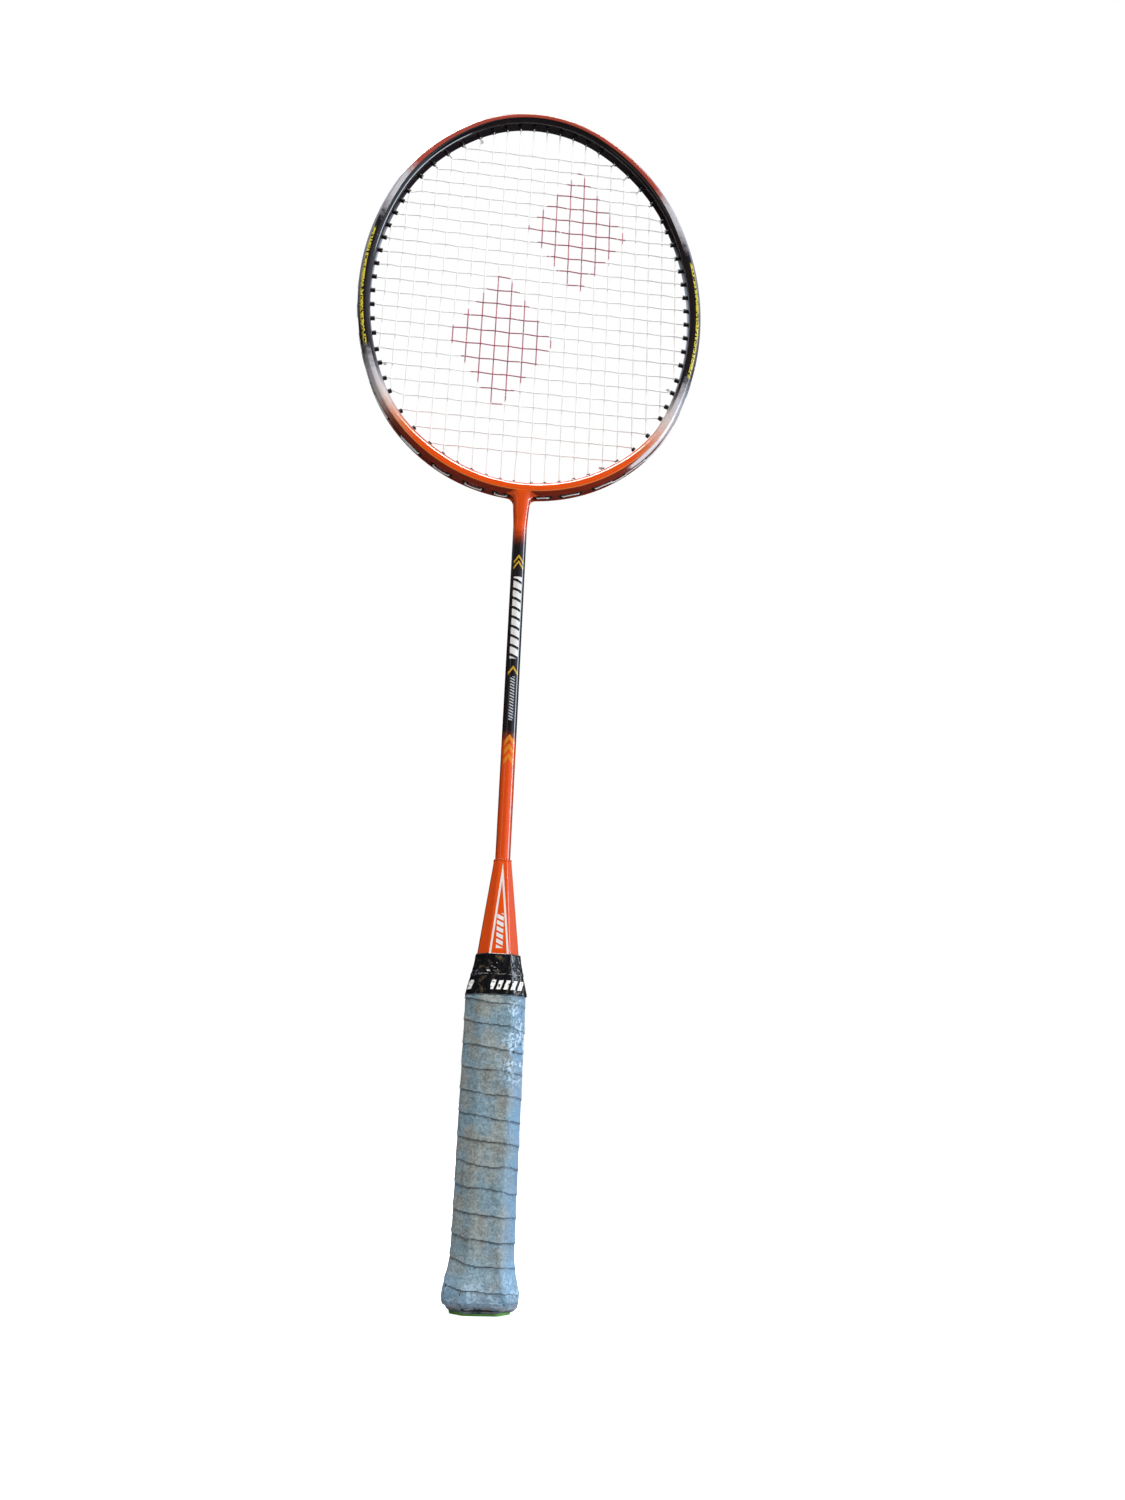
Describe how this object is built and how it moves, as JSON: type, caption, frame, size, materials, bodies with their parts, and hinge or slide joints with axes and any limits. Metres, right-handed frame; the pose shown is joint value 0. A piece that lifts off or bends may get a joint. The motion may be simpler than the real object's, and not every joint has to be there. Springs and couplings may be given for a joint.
{
  "type": "badminton racket",
  "caption": "Strung badminton racket: oval hollow rim with grommets, slim shaft, cone cap and a wrapped, flared octagonal handle.",
  "frame": {"origin": "centre of the flat end of the butt, on the shaft's axis", "axes": "+Z along the handle and shaft to the crown of the head, +X across the head's width, Y square to the strings"},
  "size_m": [0.2004, 0.0318, 0.6712],
  "materials": {
    "painted_rim": "glossy painted composite, orange to black",
    "painted_throat": "glossy orange lacquer",
    "painted_shaft": "glossy lacquer, black with orange ends",
    "insert": "moulded composite",
    "cone": "glossy orange moulding",
    "wood": "bare light wood",
    "butt_plastic": "matt black plastic",
    "disc": "green plastic",
    "base_wrap": "synthetic leather",
    "overgrip": "worn matt synthetic wrap",
    "tape": "glossy vinyl tape",
    "grommet": "black nylon",
    "string": "translucent white nylon with a printed crimson pattern"
  },
  "bodies": {
    "root": {"head_frame": "painted_rim", "throat_fairing": "painted_throat", "t_joint": "insert", "shaft": "painted_shaft", "cone_cap": "cone", "handle_core_front": "wood", "handle_core_back": "wood", "butt_cap": "butt_plastic", "butt_cap_disc": "disc", "base_grip": "base_wrap", "overgrip": "overgrip", "finishing_tape_lower": "tape", "finishing_tape_upper": "tape", "grommets_crown": "grommet", "grommets_shared": "grommet", "grommets_left": "grommet", "grommets_right": "grommet", "grommets_throat": "grommet", "main_string": "string", "cross_string": "string"}
  },
  "joints": []
}
